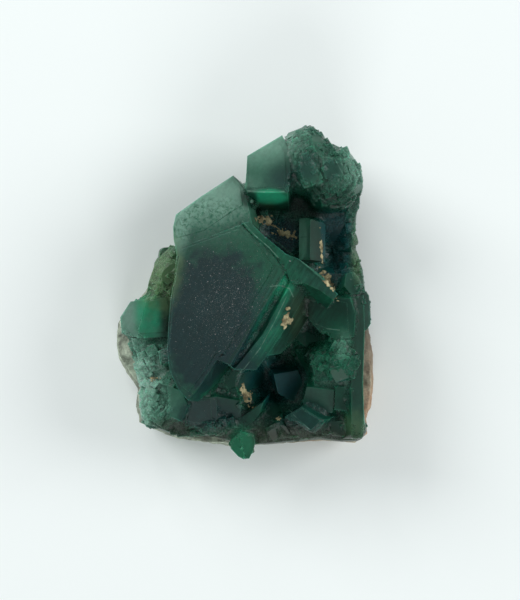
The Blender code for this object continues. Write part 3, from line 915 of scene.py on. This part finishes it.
def zoned_colour(nodes, values, cloud, wobble, normal):
    """Clean crystal, frosted where it faces out, with its growth zones, stains and green spots."""
    base = nodes.mixed(nodes.ranged(cloud, 0.35, 0.65), opaque(values.deep), opaque(values.green))
    outer = nodes.ranged(nodes.parts(normal)["Z"], 0.6, 0.95, 0.0, 0.65, smooth=True)
    base = nodes.mixed(outer, base, opaque(values.frosted))
    for zone in ZONES:
        base = nodes.mixed(zone_mask(nodes, zone, wobble), base, opaque(getattr(values, zone.colour)))
    speckle = nodes.ranged(nodes.noise(nodes.place(), *SPOTS), 0.45, 0.68)
    spots = nodes.times(zone_mask(nodes, SPOTTED, wobble), speckle)
    return nodes.mixed(spots, base, opaque(getattr(values, SPOTTED.colour)))


def marked_colour(nodes, values, base, mottle, wobble, flat):
    """The colour made uneven by growth lines, painted shadow and highlight lines, and mottling, which large
    faces have less of.
    """
    calm = nodes.ranged(flat, 0.0, 1.0, 1.0, 0.35)
    base = nodes.toned(base, nodes.plus(1.0, nodes.times(nodes.maths("SUBTRACT", mottle, 0.5), 1.6, calm)))
    lines = nodes.maths("SUBTRACT", growth_lines(nodes, wobble), 0.5)
    strength = nodes.ranged(zone_mask(nodes, STREAKED, wobble), 0, 1, 0.35, 2.6)
    base = nodes.toned(base, nodes.plus(1.0, nodes.times(lines, strength)))
    return with_lines(nodes, base, values, wobble)


def worn_colour(nodes, values, base, cloud, normal, rounded, flat):
    """The colour made milky along edges as a painted highlight, and darker in creases and lighter on ridges
    that aren't on a large face, as painted shade and highlight.
    """
    turned = nodes.vector("DOT_PRODUCT", rounded, normal)
    edge = nodes.times(nodes.ranged(turned, 0.97, 0.75), nodes.ranged(cloud, 0.35, 0.65, 0.2, 0.8))
    base = nodes.mixed(edge, base, opaque(values.milky))
    crease_shade_and_ridge_light = nodes.ranged(nodes.geometry("Pointiness"), 0.42, 0.53, 0.45, 1.2)
    return nodes.toned(base, nodes.plus(crease_shade_and_ridge_light, nodes.times(flat, nodes.maths("SUBTRACT", 1.0, crease_shade_and_ridge_light))))


def etched_normal(nodes, place, mottle, rounded, flat):
    """Small blocks on all but the large faces, and fine etching on every face."""
    inputs = {"Vector": place, "Scale": BLOCK_SCALE}
    blocks = nodes.add("ShaderNodeTexVoronoi", inputs, distance="CHEBYCHEV").outputs["Color"]
    steps = nodes.add("ShaderNodeSeparateColor", {0: blocks}).outputs[0]
    rough = nodes.plus(steps, nodes.times(mottle, 2.0))
    uneven = nodes.bump(nodes.times(rough, nodes.ranged(flat, 0, 1, 1, 0)), 0.6, BLOCK_DEPTH, rounded)
    etch = nodes.add("ShaderNodeTexVoronoi", {"Vector": place, "Scale": ETCH_SCALE}).outputs["Distance"]
    height = nodes.plus(nodes.times(etch, 0.4), nodes.noise(place, *GRIT))
    return nodes.bump(height, 0.3, ETCH_DEPTH, uneven)


def fluorite_material():
    values = settings("crystals")
    material, nodes, shader = new_material("fluorite")
    place = nodes.place()
    normal = nodes.geometry("Normal")
    flat = nodes.add("ShaderNodeAttribute", attribute_name="large_face").outputs["Fac"]
    rounded = nodes.add("ShaderNodeBevel", {"Radius": EDGE_RADIUS}, samples=2).outputs["Normal"]
    cloud = nodes.noise(place, *CLOUD)
    mottle = nodes.noise(place, *MOTTLE)
    wobble = nodes.maths("SUBTRACT", nodes.noise(place, *WOBBLE), 0.5)
    base = zoned_colour(nodes, values, cloud, wobble, normal)
    base = marked_colour(nodes, values, base, mottle, wobble, flat)
    amount = nodes.ranged(zone_mask(nodes, DUSTY, wobble), 0, 1, 0.015, 0.10)
    dust = nodes.group(dust_group(), amount=amount, scale=DUST_SCALE).outputs["Mask"]
    base = nodes.mixed(dust, base, opaque(settings("dirt").dust))
    # Painted highlights along the edges and on ridges, and painted shade in the creases
    base = worn_colour(nodes, values, base, cloud, normal, rounded, flat)
    frost = nodes.ranged(nodes.noise(place, *FROST), 0.3, 0.7, 0.30, 0.42)
    roughness = nodes.plus(nodes.times(frost, nodes.ranged(flat, 0, 1, 0.75, 1.0)), dust)
    shaped = etched_normal(nodes, place, mottle, rounded, flat)
    nodes.fill_all(shader, {"Base Color": base, "Roughness": roughness, "Normal": shaped} | LIGHT_INSIDE)
    depth = nodes.add("ShaderNodeVolumeAbsorption", ABSORPTION).outputs["Volume"]
    nodes.fill(nodes.tree.nodes["Material Output"].inputs["Volume"], depth)
    return material


def mark_large_faces(made):
    """Stores on each face whether it is part of a large flat face, and shades only the others smooth."""
    form = form_of(made.data)
    large = [area > FLAT_AREA for area in patch_areas(form)]
    form.free()
    attribute = made.data.attributes.new("large_face", "FLOAT", "FACE")
    attribute.data.foreach_set("value", [float(held) for held in large])
    made.data.set_sharp_from_angle(angle=SHARP_ANGLE)
    made.data.polygons.foreach_set("use_smooth", [not held for held in large])


class FLUORITE_OT_crystals(bpy.types.Operator):
    """Make the crystals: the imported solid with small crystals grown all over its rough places"""

    bl_idname = "fluorite.crystals"
    bl_label = "Crystals"

    def execute(self, context):
        values = settings("crystals")
        chance = random.Random(3)
        piece = object_from(welded(CRYSTALS), "fluorite_crystal_group")
        faces = surface_tree(piece.name)
        details = [growth_layer(faces, layer) for layer in LAYERS]
        filling = crease_filling(piece)
        combined(piece, wear_form(piece), "INTERSECT")
        form = form_of(piece.data)
        bmesh.ops.triangulate(form, faces=form.faces[:])
        small = scattered(form, values.small_count, chance, values.small_side)
        form.free()
        combined(piece, filling, "UNION")
        for number, held in enumerate(in_sets(small)):
            combined(piece, crystals_object(f"set_{number}", held, values.chamfer), "UNION")
        for detail in details:
            combined(piece, detail, "UNION")
        for crack in CRACKS:
            combined(piece, crack_cut(surface_tree(piece.name), crack), "DIFFERENCE")
        keep_in_box(piece)
        mark_large_faces(piece)
        piece.data.materials.clear()
        piece.data.materials.append(fluorite_material())
        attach(piece, BODY)
        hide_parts(CRYSTALS)
        return {"FINISHED"}


# The host rock

# Noise on the rock: scale per metre, detail, roughness and distortion
PATCHES = (190, 6, 0.68, 0.5)
STAINS = (110, 5, 0.65)

# Across these the rock turns tan, towards the right, and then grey again, towards the knob, as painted shade
# on that side
TAN_FROM = (5 * MM, 30 * MM)
SHADED_GREY_FROM = (-30 * MM, -8 * MM)
ROCK_GRAIN = 0.25 * MM

# Where the rock rests it stays flat, and its faces are cut this many times for the broken surface
RESTING = 0.05 * MM
ROCK_CUTS = 7


def rock_material():
    values = settings("rock")
    material, nodes, shader = new_material("host rock")
    place = nodes.place()
    grain = nodes.group(grain_group(), scale=1400.0, coarse=0.6)
    patches = nodes.ranged(nodes.noise(place, *PATCHES), 0.36, 0.64, 0.15, 1.0)
    base = nodes.mixed(patches, opaque(values.grey), opaque(values.milky))
    across = nodes.parts(place)
    right = nodes.ranged(across["X"], *TAN_FROM)
    stain = nodes.ranged(nodes.noise(place, *STAINS), 0.4, 0.62)
    tan = nodes.times(right, nodes.ranged(stain, 0.0, 1.0, 0.45, 1.0))
    base = nodes.mixed(tan, base, opaque(values.tan))
    # Painted shade: the right side of the rock turns darker grey towards the knob
    upper = nodes.times(right, nodes.ranged(across["Y"], *SHADED_GREY_FROM, 0.0, 0.95))
    base = nodes.mixed(upper, base, opaque(values.grey))
    base = nodes.toned(base, nodes.ranged(grain.outputs["Value"], 0.3, 0.7, 0.65, 1.2))
    # Painted shade in the creases of the broken surface, and painted highlight on its ridges
    base = nodes.toned(base, nodes.ranged(nodes.geometry("Pointiness"), 0.43, 0.53, 0.5, 1.15))
    roughness = nodes.ranged(grain.outputs["Value"], 0.3, 0.7, 0.7, 0.95)
    normal = nodes.bump(grain.outputs["Height"], 0.8, ROCK_GRAIN)
    nodes.fill_all(shader, {"Base Color": base, "Roughness": roughness, "Normal": normal})
    return material


# The size of the chips, ledges and fine breaks in the rock's surface
CHIP = 3.2 * MM
LEDGE = 2.1 * MM
FINE_BREAK = 0.7 * MM


def broken_relief(point):
    """How far the rock's surface is broken back at a point, from 0 to about 1."""
    chips = noise.voronoi(point / CHIP)[0]
    ledge = abs(noise.noise(point / LEDGE))
    fine = abs(noise.noise(point / FINE_BREAK))
    return 0.55 * (chips[1] - chips[0]) + 0.35 * ledge + 0.2 * fine


class FLUORITE_OT_rock(bpy.types.Operator):
    """Make the host rock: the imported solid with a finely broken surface"""

    bl_idname = "fluorite.rock"
    bl_label = "Host rock"

    def execute(self, context):
        values = settings("rock")
        form = welded(ROCK)
        bmesh.ops.subdivide_edges(form, edges=form.edges[:], cuts=ROCK_CUTS, use_grid_fill=True)
        bmesh.ops.triangulate(form, faces=form.faces[:])
        depth = -values.relief
        pushed(form, lambda point: depth * broken_relief(point) if point.z > RESTING else 0.0)
        for vertex in form.verts:
            vertex.co.z = max(vertex.co.z, 0.0)
        piece = object_from(form, "host_rock_surface")
        keep_in_box(piece, 0.0)
        piece.data.shade_smooth()
        piece.data.materials.clear()
        piece.data.materials.append(rock_material())
        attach(piece, BODY)
        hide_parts(ROCK)
        return {"FINISHED"}


# The clay and the dust

# Clay left in the pockets: middle as seen, length, width, direction in degrees, grains and their size
Clay = namedtuple("Clay", "name x y length width direction grains size")
CLAY = (
    Clay("pocket_upper", 6.6, 21.6, 5.6, 2.6, -8, 60, 0.34),
    Clay("pocket_line", 9.2, 19.6, 6.4, 0.4, -28, 26, 0.22),
    Clay("pocket_lower", 12.9, 17.4, 6.8, 2.6, -15, 60, 0.36),
    Clay("prism_foot", 23.3, 12.6, 11.5, 0.9, -88, 60, 0.30),
    Clay("recess", 25.2, 3.2, 8.6, 2.0, -60, 70, 0.34),
    Clay("step_lump", 12.4, -8.4, 4.8, 1.8, 72, 40, 0.45),
    Clay("hollow_rim", 0.8, -31.0, 6.4, 3.0, -62, 70, 0.36),
    Clay("base_lump", 10.2, -38.1, 1.8, 1.0, 0, 14, 0.32),
    Clay("left_spot", -27, -26.1, 2.8, 1.2, 10, 18, 0.3),
)
CLAY_GRAIN = 0.12 * MM


def crumb(form, chance, place, size):
    matrix = place @ Matrix.Diagonal(size).to_4x4()
    made = bmesh.ops.create_icosphere(form, subdivisions=1, radius=1, matrix=matrix)
    centre = place.translation
    for vertex in made["verts"]:
        vertex.co = centre + (vertex.co - centre) * chance.uniform(0.6, 1.25)


def clay_material():
    values = settings("dirt")
    material, nodes, shader = new_material("dry clay")
    grain = nodes.group(grain_group(), scale=2600.0, coarse=0.8)
    damp = nodes.ranged(nodes.noise(nodes.place(), 420, 4, 0.6), 0.4, 0.62)
    base = nodes.mixed(damp, opaque(values.ochre), opaque(values.brown))
    base = nodes.toned(base, nodes.ranged(grain.outputs["Value"], 0.3, 0.7, 0.75, 1.3))
    roughness = nodes.ranged(grain.outputs["Value"], 0.3, 0.7, 0.8, 1.0)
    normal = nodes.bump(grain.outputs["Height"], 0.9, CLAY_GRAIN)
    nodes.fill_all(shader, {"Base Color": base, "Roughness": roughness, "Normal": normal})
    return material


class FLUORITE_OT_clay(bpy.types.Operator):
    """Make the dry clay left in the pockets between the crystals"""

    bl_idname = "fluorite.clay"
    bl_label = "Clay"

    def execute(self, context):
        values = settings("dirt")
        chance = random.Random(5)
        ground = surface_tree("fluorite_crystal_group")
        form = bmesh.new()
        for clay in CLAY:
            turn = Matrix.Rotation(math.radians(clay.direction), 2)
            for _ in range(clay.grains):
                along = turn @ Vector((chance.gauss(0, clay.length / 4), chance.gauss(0, clay.width / 4)))
                point, normal = seen_at(ground, clay.x + along.x, clay.y + along.y)
                if point is None:
                    continue
                size = clay.size * MM * math.exp(chance.gauss(0, 0.35))
                setting = normal.to_track_quat("Z", "X").to_matrix().to_4x4()
                spin = Matrix.Rotation(chance.uniform(0, math.tau), 4, "Z")
                place = Matrix.Translation(point) @ setting @ spin
                crumb(form, chance, place, (size * 1.3, size * chance.uniform(0.7, 1.2), size * 0.6))
        piece = object_from(form, "dry_clay")
        remeshed(piece, values.clay_voxel)
        piece.data.materials.append(clay_material())
        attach(piece, BODY)
        return {"FINISHED"}


# Where the dust lies: middle as seen, spread across and along, and the share of the grains
DustField = namedtuple("DustField", "x y across along share")
DUST_FIELDS = (
    DustField(-4.0, -3.0, 14, 16, 0.60),
    DustField(-8, -9, 22, 32, 0.34),
    DustField(8, 20, 50, 50, 0.06),
)

# Pale grains put where glints show, as painted highlights, as seen
GLINTS = (
    (-10.5, 18.3), (6.9, 11.4), (11.8, 5.4), (-0.9, 22.8), (-16.5, 3.7), (20.7, 38.7), (31.2, -21.9),
    (29.1, -26.1), (27.3, -29.4), (2.4, 27.3), (3.3, 14.7), (-2.1, 25.2), (16.8, -33.6), (-21.6, -26.4),
    (12.9, 36.0),
)
GLINT_SIZE = 0.15 * MM

# Grains lie only on faces whose normal's height is above this
GRAIN_SLOPE = 0.5


def dust_material():
    material, nodes, shader = new_material("dust and glint grains")
    tone = nodes.ranged(nodes.noise(nodes.place(), 1500, 2, 0.5), 0.3, 0.7, 0.10, 0.55)
    base = nodes.toned(opaque(settings("dirt").dust), tone)
    nodes.fill_all(shader, {"Base Color": base, "Roughness": 0.8})
    return material


class FLUORITE_OT_dust(bpy.types.Operator):
    """Make the pale dust grains that lie mostly on the large face, and the pale grains that are painted
    highlights
    """

    bl_idname = "fluorite.dust"
    bl_label = "Dust"

    def execute(self, context):
        values = settings("dirt")
        chance = random.Random(9)
        ground = surface_tree("fluorite_crystal_group")
        form = bmesh.new()
        # The painted glint grains come first, then the dust
        spots = [(x, y, GLINT_SIZE) for x, y in GLINTS]
        for field in DUST_FIELDS:
            for _ in range(int(values.grain_count * field.share)):
                x = field.x + chance.gauss(0, field.across / 2)
                y = field.y + chance.gauss(0, field.along / 2)
                spots.append((x, y, values.grain_size * math.exp(chance.gauss(0, 0.45))))
        for x, y, size in spots:
            point, normal = seen_at(ground, x, y)
            if point is None or normal.z < GRAIN_SLOPE:
                continue
            spin = Matrix.Rotation(chance.uniform(0, math.tau), 4, "Z")
            place = Matrix.Translation(point) @ spin
            crumb(form, chance, place, (size, size * chance.uniform(0.6, 1), size * 0.6))
        piece = object_from(form, "dust_and_glint_grains")
        keep_in_box(piece)
        piece.data.materials.append(dust_material())
        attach(piece, BODY)
        return {"FINISHED"}


# The stage

FRAME_ASPECT = 520 / 600
SENSOR = 36.0
FLOOR_HALF = 3.0
WORLD = {"Color": (0.93, 0.98, 1.0, 1.0), "Strength": 0.32}
Lamp = namedtuple("Lamp", "name place size power")
LAMPS = (
    Lamp("window", (-0.95, 0.75, 0.80), 0.8, 11.5),
    Lamp("right_fill", (1.20, 0.30, 0.72), 0.8, 11.0),
    Lamp("front_fill", (0.05, -1.25, 0.75), 0.8, 7.0),
    Lamp("sparkle", (-0.30, 0.85, 0.60), 0.30, 1.0),
)


class FLUORITE_OT_stage(bpy.types.Operator):
    """Make the floor, the light and the camera"""

    bl_idname = "fluorite.stage"
    bl_label = "Stage"

    def execute(self, context):
        values = settings("stage")
        form = bmesh.new()
        bmesh.ops.create_grid(form, x_segments=1, y_segments=1, size=FLOOR_HALF)
        floor = object_from(form, "floor")
        material, nodes, shader = new_material("floor")
        nodes.fill_all(shader, {"Base Color": opaque(values.floor), "Roughness": 0.9})
        floor.data.materials.append(material)
        world = bpy.data.worlds.new("studio")
        world.use_nodes = True
        Nodes(world.node_tree).fill_all(world.node_tree.nodes["Background"], WORLD)
        context.scene.world = world
        for lamp in LAMPS:
            light = bpy.data.lights.new(lamp.name, "AREA")
            light.shape = "DISK"
            light.size = lamp.size
            light.energy = lamp.power
            made = linked(lamp.name, light)
            made.location = lamp.place
            made.rotation_euler = (-Vector(lamp.place)).to_track_quat("-Z", "Y").to_euler()
        camera = bpy.data.cameras.new("camera")
        camera.sensor_width = SENSOR
        distance = (EYE.z - CRYSTAL_LEVEL) * MM
        camera.lens = SENSOR * distance / (values.view_width / FRAME_ASPECT)
        made = linked("camera", camera)
        made.location = EYE * MM
        context.scene.camera = made
        context.scene.view_settings.view_transform = "Standard"
        return {"FINISHED"}


class FLUORITE_PT_panel(bpy.types.Panel):
    """Lists the steps that dress the specimen"""

    bl_idname = "FLUORITE_PT_panel"
    bl_label = "Fluorite specimen"
    bl_space_type = "VIEW_3D"
    bl_region_type = "UI"
    bl_category = "Fluorite"

    def draw(self, context):
        for operator in OPERATORS:
            self.layout.operator(operator.bl_idname)
        for name in GROUPS:
            values = settings(name)
            column = self.layout.column(align=True)
            for key in values.__annotations__:
                column.prop(values, key)


OPERATORS = (FLUORITE_OT_crystals, FLUORITE_OT_rock, FLUORITE_OT_clay, FLUORITE_OT_dust, FLUORITE_OT_stage)
GROUPS = {"crystals": CrystalSettings, "rock": RockSettings, "dirt": DirtSettings, "stage": StageSettings}


def register():
    for name, group in GROUPS.items():
        bpy.utils.register_class(group)
        setattr(bpy.types.Scene, f"fluorite_{name}", PointerProperty(type=group))
    for operator in OPERATORS:
        bpy.utils.register_class(operator)
    bpy.utils.register_class(FLUORITE_PT_panel)


def unregister():
    bpy.utils.unregister_class(FLUORITE_PT_panel)
    for operator in reversed(OPERATORS):
        bpy.utils.unregister_class(operator)
    for name, group in GROUPS.items():
        delattr(bpy.types.Scene, f"fluorite_{name}")
        bpy.utils.unregister_class(group)


def main():
    register()
    bpy.ops.fluorite.crystals()
    bpy.ops.fluorite.rock()
    bpy.ops.fluorite.clay()
    bpy.ops.fluorite.dust()
    bpy.ops.fluorite.stage()


if __name__ == "__main__":
    main()
